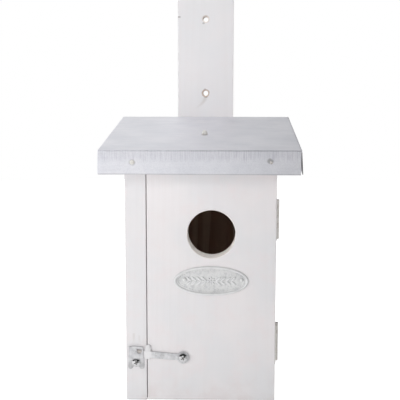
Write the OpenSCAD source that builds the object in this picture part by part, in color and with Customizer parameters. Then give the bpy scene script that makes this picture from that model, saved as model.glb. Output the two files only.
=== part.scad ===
// Wooden nest box with a side-hung front door, a zinc-clad lean-to roof and a hanging board.
// Lengths in millimetres. +X is the right side, -Y the front, +Z up.
// The origin is at the middle of the base, halfway between the roof's lip and the back.

/* [Box] */
// Width across the two side walls
body_w = 150; // [125:1:220]
// Depth from the face of the door to the back of the box
body_d = 170; // [130:1:240]
// Height of the side walls at the front edge
front_h = 239; // [216:1:320]
// Thickness of the wall boards
board_t = 21; // [16:0.5:24]
// Thickness of the floor board
floor_t = 18; // [10:0.5:24]
// Corner cut of the floor board, which lets water out
floor_clip = 9; // [4:0.5:15]

/* [Roof] */
// Fall of the roof to the front, in degrees
roof_slope = 7.5; // [3:0.5:14]
// Thickness of the roof board
roof_t = 20; // [12:0.5:22]
// How far the roof board stands out past the door
front_overhang = 29; // [15:0.5:50]
// How far the roof board stands out past each side wall
side_overhang = 21.2; // [10:0.2:40]
// Thickness of the zinc sheet
sheet_t = 0.7; // [0.4:0.1:1.2]
// Depth of the folded lip of the zinc sheet
lip_h = 23.1; // [23.1:0.1:30]
// Outward lean of the side lips, in degrees
lip_flare = 2.5; // [0:0.5:5]
// Open slit of the sheet between the front lip and a side lip
lip_slit = 1; // [0.5:0.1:3]

/* [Hanging board] */
// Width of the hanging board
hang_w = 64.5; // [40:0.5:100]
// Thickness of the hanging board
hang_t = 16; // [12:0.5:24]
// Height of the hanging board above the back edge of the roof
hang_rise = 135; // [115:1:200]
// Diameter of the two mounting holes
hang_hole_d = 8; // [4:0.5:10]
// Distance from the top end to the upper hole
hang_hole_top = 22; // [12:0.5:30]
// Distance between the two holes
hang_hole_pitch = 85; // [50:1:90]
// Distance from the base, and from the roof, to the nearest screw behind
hang_screw_end = 30; // [20:1:60]

/* [Door] */
// Thickness of the door board
door_t = 22; // [16:0.5:24]
// Gap between the door and the left wall
door_gap = 0.7; // [0.5:0.1:3]
// Gap between the door and what lies behind it
door_seam = 0.8; // [0.5:0.1:2]
// Gap below the door
door_lift = 0.8; // [0.5:0.1:3]
// Gap between the top of the door and the roof's lip
lip_clear = 2.2; // [1.5:0.1:8]
// Diameter of the entrance hole
hole_d = 48; // [26:0.5:60]
// Height of the entrance hole's middle above the base
hole_z = 171; // [168:1:175]
// Width of the eased edge around the front of the entrance hole
hole_ease = 0.6; // [0.2:0.1:2]

/* [Oval plate] */
// Length of the plate
plate_w = 74.4; // [66:0.2:84]
// Height of the plate
plate_h = 30; // [26:0.5:34]
// Thickness of the plate
plate_t = 0.8; // [0.5:0.1:1.5]
// Width of the raised rim
rim_w = 1.7; // [1:0.1:3]
// Height of the raised rim above the plate
rim_h = 0.7; // [0.3:0.1:1.5]
// Height of the plate's middle above the base
plate_z = 124; // [118:0.5:126]
// Distance from the plate's middle to its left nail
plate_nail_left = 26.4; // [20:0.2:30]
// Distance from the plate's middle to its right nail
plate_nail_right = 30.2; // [20:0.2:30.2]
// Height of the nails above the plate's middle
plate_nail_rise = 1.5; // [-3:0.5:3]

/* [Hinges] */
// Height of a hinge
hinge_h = 40; // [32:1:50]
// Height of the lower hinge's middle above the base
lower_hinge_z = 56.5; // [35:0.5:70]
// Distance from the top of the door to the upper hinge's middle
upper_hinge_drop = 47.5; // [35:0.5:70]
// Width of a hinge leaf, from the pin
leaf_w = 15; // [12:0.5:15.5]
// Thickness of a hinge leaf
leaf_t = 1; // [0.7:0.1:1.2]
// Corner radius of a hinge leaf
leaf_corner = 2; // [0.5:0.5:4]
// Outer diameter of the knuckles
knuckle_d = 4; // [3.6:0.2:6]
// Diameter of the hinge pin
pin_d = 2; // [1.4:0.1:2.4]
// Number of knuckles
knuckles = 5; // [3:2:7]
// Distance from the pin to the screws
leaf_screw_out = 9; // [7.5:0.5:10]
// Distance between the two screws of a leaf
leaf_screw_pitch = 24; // [14:1:26]

/* [Latch] */
// Distance from the free edge of the door to the latch's pivot
pivot_in = 36; // [28:0.5:40]
// Height of the latch's pivot above the base
pivot_z = 45.4; // [40:0.2:50]
// Rise of the bar to its free end, in degrees
latch_lean = 4.9; // [0:0.1:8]
// Thickness of the bar
latch_t = 1.4; // [1:0.1:2.5]
// Width of the bar
bar_w = 6.8; // [5:0.1:9]
// Outer diameter of the bar's eye
eye_d = 12.4; // [10:0.2:15]
// Reach of the bar past the free edge of the door
bar_reach = 17.5; // [14:0.5:18]
// Width of the finger tab
tab_w = 5.6; // [4:0.2:6]
// Height of the finger tab above the bar's middle
tab_rise = 10; // [7:0.5:14]
// Height of the finger tab below the bar's middle
tab_drop = 5.2; // [3:0.2:7]
// Width of the catch across its tail
catch_w = 16.2; // [13:0.2:16.2]
// Width of the catch at its top
catch_top_w = 14; // [12:0.2:16]
// Distance from the catch to the inner edge of the left wall
catch_inset = 2.6; // [1:0.2:2.6]
// Height of the catch above the bar's middle
catch_rise = 7.4; // [5:0.2:10]
// Height of the catch below its pocket
catch_tail = 12.4; // [12.4:0.2:16]
// Thickness of the catch
catch_t = 0.8; // [0.6:0.1:0.8]
// Radius of the notch in the catch's tail
tail_notch_r = 3.4; // [2:0.1:3.8]
// Width of the window in the catch
window_w = 5; // [3:0.2:6]

/* [Fasteners] */
// Head diameter of the pan-head screws
pan_d = 8.6; // [7:0.2:9]
// Head height of the pan-head screws
pan_h = 2.8; // [2:0.1:3.5]
// Shank diameter of the pan-head screws
pan_shank_d = 4; // [3:0.1:5]
// Length of the pan-head screws under the head
pan_len = 16; // [10:0.5:18]
// Head diameter of the hinge screws
leaf_screw_head_d = 5.4; // [4:0.2:6]
// Shank diameter of the hinge screws
leaf_screw_d = 2.8; // [2:0.1:3.4]
// Length of the hinge screws
leaf_screw_len = 13; // [8:0.5:15]
// Head diameter of the screws behind the hanging board
hang_screw_head_d = 8; // [6:0.2:10]
// Shank diameter of the screws behind the hanging board
hang_screw_d = 4; // [3:0.1:5]
// Length of the screws behind the hanging board
hang_screw_len = 32; // [28:1:32]
// Number of screws behind the hanging board
hang_screws = 3; // [2:1:4]
// Head diameter of the roof nails
roof_nail_head_d = 5.4; // [4:0.2:8]
// Head diameter of the plate nails
plate_nail_head_d = 4; // [3:0.2:5]
// Shank diameter of the nails
nail_d = 1.8; // [1.2:0.1:2.4]
// Length of the nails
nail_len = 15; // [8:0.5:16]
// Distance between the two nails in the roof's lip
lip_nail_pitch = 132; // [60:1:140]
// Sideways shift of the two lip nails
lip_nail_shift = 2; // [-6:0.5:6]
// Distance from the roof's front edge to the nail in its top
top_nail_back = 85; // [40:1:140]
// Sideways shift of the nail in the roof's top
top_nail_shift = 2.4; // [-6:0.2:6]

/* [Clearances] */
// Radial play of the knuckles on the pin
pin_play = 0.05; // [0.02:0.01:0.1]
// End play between two knuckles
knuckle_play = 0.3; // [0.1:0.05:0.6]
// Radial play of screws and nails in metal plates
hole_play = 0.1; // [0.05:0.05:0.3]
// Gap between the bar and the door, and between the bar and its screw
latch_play = 0.5; // [0.3:0.1:1]
// Gap between the catch and the bar, and between the catch and its screw head
catch_play = 0.3; // [0.2:0.1:0.6]
// Depth of the sunk screw heads below the back of the hanging board
head_sink = 0.3; // [0.1:0.1:1]

/* [Hidden] */
$fn = 64;
cut = 1;
paint = [0.88, 0.87, 0.87];
zinc = [0.78, 0.78, 0.81];
steel = [0.7, 0.7, 0.71];
bright = [0.84, 0.84, 0.85];

// Main planes: the box is placed so that the roof's front edge and the board's back are equally far out.
slope_run = sheet_t * (cos(roof_slope) + sin(roof_slope));
y_front = (front_overhang + slope_run - body_d - hang_t) / 2;
y_inside = y_front + door_t + door_seam;
y_back = y_front + body_d;
inner_w = body_w - 2 * board_t;
function roof_under(y) = front_h + (y - y_front) * tan(roof_slope);

// Roof, in a frame at the top front edge of the roof board
roof_w = body_w + 2 * side_overhang;
roof_len = (body_d + front_overhang) / cos(roof_slope);
eave_z = front_h - front_overhang * tan(roof_slope) + roof_t / cos(roof_slope);
lip_drop = lip_h - sheet_t;
lip_z = eave_z - lip_drop * cos(roof_slope) - sheet_t * sin(roof_slope);
hang_top = eave_z + roof_len * sin(roof_slope) + hang_rise;

// Screws behind the hanging board
hang_screw_head_h = (hang_screw_head_d - hang_screw_d) / 2;
hang_screw_top = roof_under(y_back) - hang_screw_end;

// Door
door_left = -body_w / 2 + board_t + door_gap;
door_right = body_w / 2;
door_mid = (door_left + door_right) / 2;
door_top = lip_z - lip_clear;

// Hinges
knuckle_r = knuckle_d / 2;
hinge_x = door_right + knuckle_r;
hinge_y = y_front + door_t + door_seam / 2;
upper_hinge_z = door_top - upper_hinge_drop;
knuckle_h = hinge_h / knuckles;
pin_head_h = 0.4;

// Latch: the bar's middle line crosses the catch at catch_bar_z
pivot_x = door_left + pivot_in;
bar_y = y_front - latch_play;
catch_x = -body_w / 2 + board_t - catch_inset - catch_w / 2;
catch_bar_z = pivot_z + (pivot_x - catch_x) * tan(latch_lean);
pocket_z = -bar_w / 2 / cos(latch_lean) - catch_w / 2 * tan(latch_lean) - catch_play;
pocket_d = latch_play + latch_t + catch_play;
catch_screw_z = pocket_z - catch_t - catch_play - pan_d / 2;
bar_tip = (pivot_in + bar_reach) / cos(latch_lean);
tab_reach = pivot_x - catch_x - catch_w / 2 - catch_play - tab_drop * sin(latch_lean);
tab_x = tab_reach / cos(latch_lean) - tab_w / 2;

// Shared shapes

// Board with its top cut to the roof's slope, from y0 to y1 and w wide from x0
module sloped_board(x0, w, y0, y1) {
    translate([x0, 0, 0])
        rotate([90, 0, 90])
            linear_extrude(w)
                polygon([[y0, 0], [y1, 0], [y1, roof_under(y1)], [y0, roof_under(y0)]]);
}

// Moves to the top front edge of the roof board and tilts with the roof
module on_roof() {
    translate([0, y_front - front_overhang, eave_z])
        rotate([roof_slope, 0, 0])
            children();
}

// Turns a shape that stands on z = 0 so that it stands out from a front face
module facing_front() {
    rotate([90, 0, 0])
        children();
}

// Ellipse of width w and height h
module oval(w, h) {
    points = 72;
    polygon([for (i = [0 : points - 1]) [w / 2 * cos(360 * i / points), h / 2 * sin(360 * i / points)]]);
}

// Spherical cap of diameter d and height h
module dome(d, h) {
    ball_r = (d * d / 4 + h * h) / (2 * h);
    intersection() {
        translate([0, 0, h - ball_r])
            sphere(ball_r);
        cylinder(d = d, h = h);
    }
}

// Nail with a domed head on z = 0
module nail(head_d) {
    rim = 0.3;
    cylinder(d = head_d, h = rim);
    translate([0, 0, rim])
        dome(head_d, head_d / 5);
    translate([0, 0, -nail_len])
        cylinder(d = nail_d, h = nail_len);
}

// Pan-head screw with its head on z = 0
module pan_screw(len) {
    rim = pan_h / 3;
    cylinder(d = pan_d, h = rim);
    translate([0, 0, rim])
        dome(pan_d, pan_h - rim);
    translate([0, 0, -len])
        cylinder(d = pan_shank_d, h = len);
}

// Countersunk screw with the top of its head at z = 0
module sunk_screw(head_d, head_h, shank_d, len) {
    translate([0, 0, -head_h])
        cylinder(d1 = shank_d, d2 = head_d, h = head_h);
    translate([0, 0, -len])
        cylinder(d = shank_d, h = len);
}

// Box

module left_wall() {
    color(paint)
        sloped_board(-body_w / 2, board_t, y_front, y_back);
}

module right_wall() {
    color(paint)
        sloped_board(body_w / 2 - board_t, board_t, y_inside, y_back);
}

module back_wall() {
    color(paint)
        sloped_board(-inner_w / 2, inner_w, y_back - board_t, y_back);
}

module floor_board() {
    y_end = y_back - board_t;
    half = inner_w / 2;
    color(paint)
        linear_extrude(floor_t)
            polygon([
                [-half + floor_clip, y_inside], [half - floor_clip, y_inside],
                [half, y_inside + floor_clip], [half, y_end - floor_clip],
                [half - floor_clip, y_end], [-half + floor_clip, y_end],
                [-half, y_end - floor_clip], [-half, y_inside + floor_clip]
            ]);
}

// Roof

module roof_board() {
    color(paint)
        on_roof()
            translate([-roof_w / 2, 0, 0])
                rotate([90, 0, 90])
                    linear_extrude(roof_w)
                        polygon([
                            [0, 0], [0, -roof_t],
                            [roof_len - roof_t * tan(roof_slope), -roof_t], [roof_len, 0]
                        ]);
}

// Places of the roof's nails: two in the front lip and one in the top
module at_lip_nails() {
    for (side = [-1, 1])
        translate([lip_nail_shift + side * lip_nail_pitch / 2, -sheet_t, sheet_t - lip_h / 2])
            facing_front()
                children();
}

module at_top_nail() {
    translate([top_nail_shift, top_nail_back, sheet_t])
        children();
}

// Zinc sheet: top, front lip and two side lips that lean out a little, open at the corners
module roof_sheet() {
    outer_w = roof_w + 2 * sheet_t;
    nail_hole_d = nail_d + 2 * hole_play;
    color(zinc)
        on_roof()
            difference() {
                union() {
                    translate([-outer_w / 2, -sheet_t, 0])
                        cube([outer_w, roof_len + sheet_t - lip_slit, sheet_t]);
                    translate([-outer_w / 2, -sheet_t, -lip_drop])
                        cube([outer_w, sheet_t, lip_h]);
                    for (side = [0, 1])
                        mirror([side, 0, 0])
                            translate([roof_w / 2, lip_slit, 0])
                                rotate([0, -lip_flare, 0])
                                    translate([0, 0, -lip_drop])
                                        cube([sheet_t, roof_len - 2 * lip_slit, lip_drop]);
                }
                at_lip_nails()
                    translate([0, 0, -sheet_t - cut])
                        cylinder(d = nail_hole_d, h = sheet_t + 2 * cut);
                at_top_nail()
                    translate([0, 0, -sheet_t - cut])
                        cylinder(d = nail_hole_d, h = sheet_t + 2 * cut);
            }
}

module roof_nails() {
    color(steel)
        on_roof() {
            at_lip_nails()
                nail(roof_nail_head_d);
            at_top_nail()
                nail(roof_nail_head_d);
        }
}

// Hanging board

// Places of the screws behind the hanging board, standing out to the back
module at_hang_screws() {
    step = (hang_screw_top - hang_screw_end) / (hang_screws - 1);
    for (i = [0 : hang_screws - 1])
        translate([0, y_back + hang_t - head_sink, hang_screw_end + i * step])
            rotate([-90, 0, 0])
                children();
}

module hanging_board() {
    color(paint)
        difference() {
            translate([-hang_w / 2, y_back, 0])
                cube([hang_w, hang_t, hang_top]);
            for (i = [0, 1])
                translate([0, y_back - cut, hang_top - hang_hole_top - i * hang_hole_pitch])
                    rotate([-90, 0, 0])
                        cylinder(d = hang_hole_d, h = hang_t + 2 * cut);
            at_hang_screws() {
                translate([0, 0, -hang_screw_head_h])
                    cylinder(
                        d1 = hang_screw_d + 2 * hole_play,
                        d2 = hang_screw_head_d + 2 * hole_play,
                        h = hang_screw_head_h
                    );
                cylinder(d = hang_screw_head_d + 2 * hole_play, h = head_sink + cut);
            }
        }
}

module hanging_board_screws() {
    color(steel)
        at_hang_screws()
            sunk_screw(hang_screw_head_d, hang_screw_head_h, hang_screw_d, hang_screw_len);
}

// Door and its plate

module door() {
    color(paint)
        difference() {
            translate([door_left, y_front, door_lift])
                cube([door_right - door_left, door_t, door_top - door_lift]);
            translate([door_mid, y_front, hole_z])
                rotate([-90, 0, 0]) {
                    translate([0, 0, -cut])
                        cylinder(d = hole_d, h = door_t + 2 * cut);
                    cylinder(d1 = hole_d + 2 * hole_ease, d2 = hole_d, h = hole_ease);
                }
        }
}

module on_plate() {
    translate([door_mid, y_front, plate_z])
        facing_front()
            children();
}

module at_plate_nails() {
    for (x = [-plate_nail_left, plate_nail_right])
        translate([x, plate_nail_rise, plate_t])
            children();
}

module oval_plate() {
    color(zinc)
        on_plate()
            difference() {
                union() {
                    linear_extrude(plate_t)
                        oval(plate_w, plate_h);
                    linear_extrude(plate_t + rim_h)
                        difference() {
                            oval(plate_w, plate_h);
                            oval(plate_w - 2 * rim_w, plate_h - 2 * rim_w);
                        }
                }
                at_plate_nails()
                    translate([0, 0, -plate_t - cut])
                        cylinder(d = nail_d + 2 * hole_play, h = plate_t + 2 * cut);
            }
}

module plate_nails() {
    color(steel)
        on_plate()
            at_plate_nails()
                nail(plate_nail_head_d);
}

// Hinges: each leaf is drawn in a frame on the pin, with the wall's leaf towards +Y

module on_hinge(z) {
    translate([hinge_x, hinge_y, z])
        children();
}

// The door's parts mirror the wall's parts
module leaf_side(on_door) {
    mirror([0, on_door ? 1 : 0, 0])
        children();
}

module leaf_outline() {
    flat_h = hinge_h - 2 * leaf_corner;
    translate([0, -hinge_h / 2])
        square([leaf_w - leaf_corner, hinge_h]);
    translate([0, -flat_h / 2])
        square([leaf_w, flat_h]);
    for (side = [-1, 1])
        translate([leaf_w - leaf_corner, side * flat_h / 2])
            circle(leaf_corner);
}

// Places of a leaf's two screws, standing out from the leaf's face
module at_leaf_screws() {
    for (side = [-1, 1])
        translate([leaf_t - knuckle_r, leaf_screw_out, side * leaf_screw_pitch / 2])
            rotate([0, 90, 0])
                children();
}

// Every second knuckle, from the first one given
module each_knuckle(first) {
    for (i = [first : 2 : knuckles - 1])
        translate([0, 0, i * knuckle_h - hinge_h / 2])
            children();
}

module leaf(on_door) {
    own = on_door ? 1 : 0;
    color(steel)
        leaf_side(on_door)
            difference() {
                union() {
                    difference() {
                        translate([-knuckle_r, 0, 0])
                            rotate([90, 0, 90])
                                linear_extrude(leaf_t)
                                    leaf_outline();
                        each_knuckle(1 - own)
                            translate([0, 0, -knuckle_play])
                                cylinder(r = knuckle_r + 2 * knuckle_play, h = knuckle_h + 2 * knuckle_play);
                    }
                    each_knuckle(own)
                        translate([0, 0, on_door ? knuckle_play : 0])
                            cylinder(r = knuckle_r, h = knuckle_h - (on_door ? 2 * knuckle_play : 0));
                }
                translate([0, 0, -hinge_h / 2 - cut])
                    cylinder(d = pin_d + 2 * pin_play, h = hinge_h + 2 * cut);
                at_leaf_screws()
                    translate([0, 0, -leaf_t])
                        cylinder(
                            d1 = leaf_screw_d + 2 * hole_play,
                            d2 = leaf_screw_head_d + 2 * hole_play,
                            h = leaf_t
                        );
            }
}

module leaf_screws(on_door) {
    color(bright)
        leaf_side(on_door)
            at_leaf_screws()
                sunk_screw(leaf_screw_head_d, leaf_t, leaf_screw_d, leaf_screw_len);
}

module hinge_pin() {
    color(bright) {
        translate([0, 0, -hinge_h / 2])
            cylinder(d = pin_d, h = hinge_h);
        for (side = [0, 1])
            mirror([0, 0, side])
                translate([0, 0, hinge_h / 2])
                    dome(knuckle_d, pin_head_h);
    }
}

module upper_hinge_wall_leaf() { on_hinge(upper_hinge_z) leaf(false); }
module upper_hinge_wall_screws() { on_hinge(upper_hinge_z) leaf_screws(false); }
module upper_hinge_door_leaf() { on_hinge(upper_hinge_z) leaf(true); }
module upper_hinge_door_screws() { on_hinge(upper_hinge_z) leaf_screws(true); }
module upper_hinge_pin() { on_hinge(upper_hinge_z) hinge_pin(); }
module lower_hinge_wall_leaf() { on_hinge(lower_hinge_z) leaf(false); }
module lower_hinge_wall_screws() { on_hinge(lower_hinge_z) leaf_screws(false); }
module lower_hinge_door_leaf() { on_hinge(lower_hinge_z) leaf(true); }
module lower_hinge_door_screws() { on_hinge(lower_hinge_z) leaf_screws(true); }
module lower_hinge_pin() { on_hinge(lower_hinge_z) hinge_pin(); }

// Latch

// Flat bar with an eye at the pivot, a finger tab over the door's gap and a rounded tip
module latch_bar() {
    tip_r = bar_w / 2;
    tab_r = tab_w / 2;
    color(steel)
        translate([pivot_x, bar_y, pivot_z])
            rotate([0, latch_lean, 0])
                facing_front()
                    linear_extrude(latch_t)
                        difference() {
                            union() {
                                circle(d = eye_d);
                                translate([tip_r - bar_tip, -bar_w / 2])
                                    square([bar_tip - tip_r, bar_w]);
                                translate([tip_r - bar_tip, 0])
                                    circle(tip_r);
                                translate([-tab_x - tab_w / 2, -tab_drop])
                                    square([tab_w, tab_drop + tab_rise - tab_r]);
                                translate([-tab_x, tab_rise - tab_r])
                                    circle(tab_r);
                            }
                            circle(d = pan_shank_d + 2 * hole_play);
                        }
}

module latch_pivot_screw() {
    color(bright)
        translate([pivot_x, bar_y - latch_t - latch_play, pivot_z])
            facing_front()
                pan_screw(pan_len);
}

// Moves to where the bar's middle line crosses the catch, on the face of the left wall
module on_catch() {
    translate([catch_x, y_front, catch_bar_z])
        children();
}

// Stepped plate that narrows upwards: its tail is screwed to the wall and its upper half stands off
// as a pocket for the bar
module latch_catch() {
    tail_z = pocket_z - catch_tail;
    tail_r = (catch_w / 2 - tail_notch_r) / 2;
    color(steel)
        on_catch()
            difference() {
                intersection() {
                    translate([-catch_w / 2, 0, 0])
                        rotate([90, 0, 90])
                            linear_extrude(catch_w)
                                polygon([
                                    [0, tail_z], [0, pocket_z], [-pocket_d, pocket_z], [-pocket_d, catch_rise],
                                    [-pocket_d - catch_t, catch_rise], [-pocket_d - catch_t, pocket_z - catch_t],
                                    [-catch_t, pocket_z - catch_t], [-catch_t, tail_z]
                                ]);
                    facing_front()
                        linear_extrude(pocket_d + 2 * catch_t)
                            union() {
                                polygon([
                                    [-catch_w / 2, tail_z + tail_r], [catch_w / 2, tail_z + tail_r],
                                    [catch_top_w / 2, catch_rise], [catch_top_w / 2, catch_rise + cut],
                                    [-catch_top_w / 2, catch_rise + cut], [-catch_top_w / 2, catch_rise]
                                ]);
                                for (side = [-1, 1])
                                    translate([side * (catch_w / 2 - tail_r), tail_z + tail_r])
                                        circle(tail_r);
                            }
                }
                facing_front()
                    translate([0, tail_z, -cut])
                        cylinder(r = tail_notch_r, h = catch_t + 2 * cut);
                facing_front()
                    translate([0, catch_screw_z, -cut])
                        cylinder(d = pan_shank_d + 2 * hole_play, h = catch_t + 2 * cut);
                facing_front()
                    translate([0, 0, pocket_d - cut])
                        linear_extrude(catch_t + 2 * cut)
                            window();
            }
}

// Window of the catch, round below, near the side where the bar comes in
module window() {
    window_r = window_w / 2;
    translate([catch_top_w / 4, window_r]) {
        circle(window_r);
        translate([-window_r, 0])
            square([window_w, window_r]);
    }
}

module latch_catch_screw() {
    color(bright)
        on_catch()
            facing_front()
                translate([0, catch_screw_z, catch_t])
                    pan_screw(pan_len);
}

left_wall();
right_wall();
back_wall();
floor_board();
roof_board();
roof_sheet();
roof_nails();
hanging_board();
hanging_board_screws();
door();
oval_plate();
plate_nails();
upper_hinge_wall_leaf();
upper_hinge_wall_screws();
upper_hinge_door_leaf();
upper_hinge_door_screws();
upper_hinge_pin();
lower_hinge_wall_leaf();
lower_hinge_wall_screws();
lower_hinge_door_leaf();
lower_hinge_door_screws();
lower_hinge_pin();
latch_bar();
latch_pivot_screw();
latch_catch();
latch_catch_screw();
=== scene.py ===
import math

import bmesh
import bpy
from mathutils import Matrix, Vector, noise


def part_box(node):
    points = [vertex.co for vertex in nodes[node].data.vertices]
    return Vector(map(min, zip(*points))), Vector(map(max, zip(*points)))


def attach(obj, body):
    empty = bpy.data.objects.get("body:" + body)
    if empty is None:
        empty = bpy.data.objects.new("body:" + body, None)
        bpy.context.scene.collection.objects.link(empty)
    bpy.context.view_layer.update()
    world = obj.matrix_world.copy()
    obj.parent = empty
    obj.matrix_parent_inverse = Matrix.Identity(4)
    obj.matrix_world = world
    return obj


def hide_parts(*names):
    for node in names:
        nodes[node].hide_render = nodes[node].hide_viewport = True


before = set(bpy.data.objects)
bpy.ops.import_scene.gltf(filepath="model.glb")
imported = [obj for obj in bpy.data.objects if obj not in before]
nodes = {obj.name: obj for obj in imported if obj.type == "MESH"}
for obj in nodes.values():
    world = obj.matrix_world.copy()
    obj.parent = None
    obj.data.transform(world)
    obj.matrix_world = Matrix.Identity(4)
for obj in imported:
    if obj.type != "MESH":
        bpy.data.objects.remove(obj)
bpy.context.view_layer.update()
scene = bpy.context.scene
scene.view_settings.view_transform = "Standard"
mm = 0.001
print("frame loaded:", len(nodes), "nodes")


# helpers for places and colours

def millimetres(*numbers):
    return Vector(numbers) * mm


def middle(node):
    low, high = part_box(node)
    return (low + high) / 2


def shown(red, green, blue):  # a colour as a screen shows it, 0 to 255, made linear
    parts = []
    for level in (red, green, blue):
        part = level / 255
        parts.append(part / 12.92 if part <= 0.04045 else ((part + 0.055) / 1.055) ** 2.4)
    return (*parts, 1.0)


faceFront = Matrix.Rotation(math.radians(90), 4, "X")  # turns +Z to the front, -Y
faceBack = Matrix.Rotation(math.radians(-90), 4, "X")
faceRight = Matrix.Rotation(math.radians(90), 4, "Y")


# shader maths: a socket that takes part in sums, and a node tree that makes nodes

class Value:
    def __init__(self, finish, socket):
        self.finish = finish
        self.socket = socket

    def calc(self, operation, first, second=0.0):
        return self.finish.add("ShaderNodeMath", {"operation": operation}, {0: first, 1: second})

    def __add__(self, other):
        return self.calc("ADD", self, other)

    def __sub__(self, other):
        return self.calc("SUBTRACT", self, other)

    def __rsub__(self, other):
        return self.calc("SUBTRACT", other, self)

    def __mul__(self, other):
        return self.calc("MULTIPLY", self, other)

    def __truediv__(self, other):
        return self.calc("DIVIDE", self, other)

    def __pow__(self, other):
        return self.calc("POWER", self, other)

    def __abs__(self):
        return self.calc("ABSOLUTE", self)

    __radd__ = __add__
    __rmul__ = __mul__

    def least(self, other):
        return self.calc("MINIMUM", self, other)

    def most(self, other):
        return self.calc("MAXIMUM", self, other)

    def fract(self):
        return self.calc("FRACT", self)


class Finish:
    def __init__(self, owner):
        owner.use_nodes = True
        self.owner = owner
        self.tree = owner.node_tree
        self.tree.nodes.clear()

    def add(self, kind, settings=None, sockets=None, out=0):
        node = self.tree.nodes.new(kind)
        for name, value in (settings or {}).items():
            setattr(node, name, value)
        for name, value in (sockets or {}).items():
            if isinstance(value, Value):
                self.tree.links.new(value.socket, node.inputs[name])
            else:
                node.inputs[name].default_value = value
        return Value(self, node.outputs[out]) if node.outputs else None

    def place(self, shift=(0, 0, 0)):  # Object coordinates, shifted
        start = self.add("ShaderNodeTexCoord", out="Object")
        return self.add("ShaderNodeMapping", {"vector_type": "POINT"}, {"Vector": start, "Location": shift})

    def placeIn(self, origin, turn):  # Object coordinates in a turned frame
        start = self.add("ShaderNodeTexCoord", out="Object")
        return self.add("ShaderNodeMapping", {"vector_type": "TEXTURE"},
                        {"Vector": start, "Location": origin, "Rotation": turn})

    def axes(self, vector):
        split = self.add("ShaderNodeSeparateXYZ", None, {"Vector": vector}).socket.node
        return [Value(self, socket) for socket in split.outputs]

    def stretched(self, vector, stretch):
        return self.add("ShaderNodeVectorMath", {"operation": "MULTIPLY"}, {0: vector, 1: stretch})

    def noise(self, vector, scale, detail=2.0, roughness=0.5):
        return self.add("ShaderNodeTexNoise", {"noise_dimensions": "3D"},
                        {"Vector": vector, "Scale": scale, "Detail": detail, "Roughness": roughness})

    def step(self, value, low, high):  # soft step from 0 at low to 1 at high
        return self.add("ShaderNodeMapRange", {"interpolation_type": "SMOOTHSTEP"},
                        {"Value": value, "From Min": low, "From Max": high})

    def stepMm(self, value, low, high):  # the same for a place, with its ends in mm
        return self.step(value, low * mm, high * mm)

    def mix(self, share, first, second):
        return self.add("ShaderNodeMix", {"data_type": "RGBA"}, {0: share, 6: first, 7: second}, 2)

    def bump(self, height, depth):
        return self.add("ShaderNodeBump", None, {"Strength": 1.0, "Distance": depth, "Height": height})

    def close(self, sockets):
        shader = self.add("ShaderNodeBsdfPrincipled", None, sockets)
        self.add("ShaderNodeOutputMaterial", None, {"Surface": shader})
        return self.owner


def away(u, v):  # distance from a middle
    return (u * u + v * v) ** 0.5


# finishes

coat = {  # thin white paint over softwood
    "warm": shown(233, 229, 230), "cool": shown(227, 226, 228), "rosy": shown(232, 223, 224),
    "grain": shown(206, 198, 192), "dirt": shown(170, 164, 156), "thin": shown(204, 195, 188),
    # bore, the near-white wall of the door's hole, is painted light that lifts the shade inside the hole
    "bore": shown(252, 247, 243), "roughness": 0.52, "brush": 0.00012, "seedSteps": (1.0, 0.7, 1.9),
    "cloudScale": 16.0, "patchScale": 48.0, "coolFrom": 0.34, "rosyShare": 0.45,
    "ringTrace": 0.03, "fibreTrace": 0.04, "unevenness": 0.2, "boreFade": 0.4, "frontDepth": (1.2, 0.4),
    "wear": 0.12, "wearWidth": 1.2, "wearScale": 70.0, "wearRagged": 5.0,
    "dirtShare": 0.1, "dirtHeight": 35.0,
}
wood = {  # bare softwood, on the faces the brush does not reach
    "early": shown(205, 181, 164), "late": shown(181, 149, 130), "fibre": shown(155, 122, 104),
    # rim, the pale wall of the upper hanging hole, is painted light that lifts its shade; torn colours the
    # lower hole's wall
    "torn": shown(208, 187, 173), "rim": shown(234, 225, 219),
    "ringGap": 3.4, "ringWarp": 7.0, "ringDrift": 0.01,
    "slow": (5.0, 55.0), "fine": (14.0, 700.0),  # scales along and across the grain
    "fibreShare": 0.4, "cloudShare": 0.15, "ragged": 7.0, "raggedScale": 120.0, "roughness": 0.78,
}


# the pale hole walls it gives are painted light that lifts the shade in the bores
def boreWallColour(f, axis, paint, x, z, radius, colour):  # the wall of a drilled hole
    off = away(axis["x"] - x * mm, axis["z"] - z * mm)
    return f.mix(f.stepMm(off, radius + coat["boreFade"], radius), paint, colour)


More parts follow.
